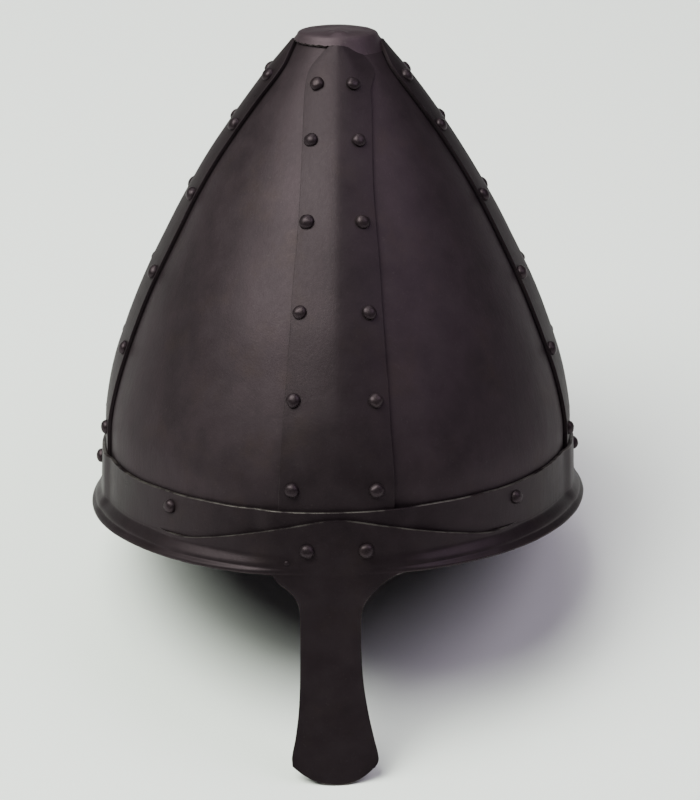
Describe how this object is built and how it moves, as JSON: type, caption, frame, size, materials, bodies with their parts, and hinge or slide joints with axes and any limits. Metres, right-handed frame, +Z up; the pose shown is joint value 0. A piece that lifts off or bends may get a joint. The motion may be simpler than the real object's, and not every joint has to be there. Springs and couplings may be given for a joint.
{
  "type": "conical iron helmet",
  "caption": "Conical helmet of riveted iron: four ridged bands over curved infill plates, a brow band, and a flared rim drawn down into a nose guard.",
  "frame": {"origin": "middle of the bounding box's footprint, on the surface the helmet rests on", "axes": "+Z up; -Y is the front, where the nose guard is; +X is the wearer's left. The helmet leans back 20 degrees and rolls 2 degrees towards the wearer's left, resting on the nose guard's tip and the back of the rim"},
  "size_m": [0.2172, 0.2756, 0.241],
  "materials": {
    "blackened_iron_bands": "satin blackened iron with worn ridges",
    "blackened_iron_plates": "smooth satin blackened iron",
    "blackened_iron_rim": "darker blackened iron, rubbed brighter on the edges",
    "rivet_iron": "blackened iron rivet heads rubbed on their domes"
  },
  "bodies": {
    "root": {"crown": "blackened_iron_bands", "front_band": "blackened_iron_bands", "left_band": "blackened_iron_bands", "back_band": "blackened_iron_bands", "right_band": "blackened_iron_bands", "plate_front_left": "blackened_iron_plates", "plate_back_left": "blackened_iron_plates", "plate_back_right": "blackened_iron_plates", "plate_front_right": "blackened_iron_plates", "brow_band": "blackened_iron_rim", "nasal_rim": "blackened_iron_rim", "front_band_rivet_01": "rivet_iron", "front_band_rivet_02": "rivet_iron", "front_band_rivet_03": "rivet_iron", "front_band_rivet_04": "rivet_iron", "front_band_rivet_05": "rivet_iron", "front_band_rivet_06": "rivet_iron", "front_band_rivet_07": "rivet_iron", "front_band_rivet_08": "rivet_iron", "front_band_rivet_09": "rivet_iron", "front_band_rivet_10": "rivet_iron", "front_band_rivet_11": "rivet_iron", "front_band_rivet_12": "rivet_iron", "left_band_rivet_01": "rivet_iron", "left_band_rivet_02": "rivet_iron", "left_band_rivet_03": "rivet_iron", "left_band_rivet_04": "rivet_iron", "left_band_rivet_05": "rivet_iron", "left_band_rivet_06": "rivet_iron", "left_band_rivet_07": "rivet_iron", "left_band_rivet_08": "rivet_iron", "left_band_rivet_09": "rivet_iron", "left_band_rivet_10": "rivet_iron", "left_band_rivet_11": "rivet_iron", "left_band_rivet_12": "rivet_iron", "right_band_rivet_01": "rivet_iron", "right_band_rivet_02": "rivet_iron", "right_band_rivet_03": "rivet_iron", "right_band_rivet_04": "rivet_iron", "right_band_rivet_05": "rivet_iron", "right_band_rivet_06": "rivet_iron", "right_band_rivet_07": "rivet_iron", "right_band_rivet_08": "rivet_iron", "right_band_rivet_09": "rivet_iron", "right_band_rivet_10": "rivet_iron", "right_band_rivet_11": "rivet_iron", "right_band_rivet_12": "rivet_iron", "brow_rivet_01": "rivet_iron", "brow_rivet_02": "rivet_iron", "brow_rivet_03": "rivet_iron", "brow_rivet_04": "rivet_iron", "brow_rivet_05": "rivet_iron", "brow_rivet_06": "rivet_iron", "brow_rivet_07": "rivet_iron", "brow_rivet_08": "rivet_iron", "nasal_rivet_01": "rivet_iron", "nasal_rivet_02": "rivet_iron"}
  },
  "joints": []
}
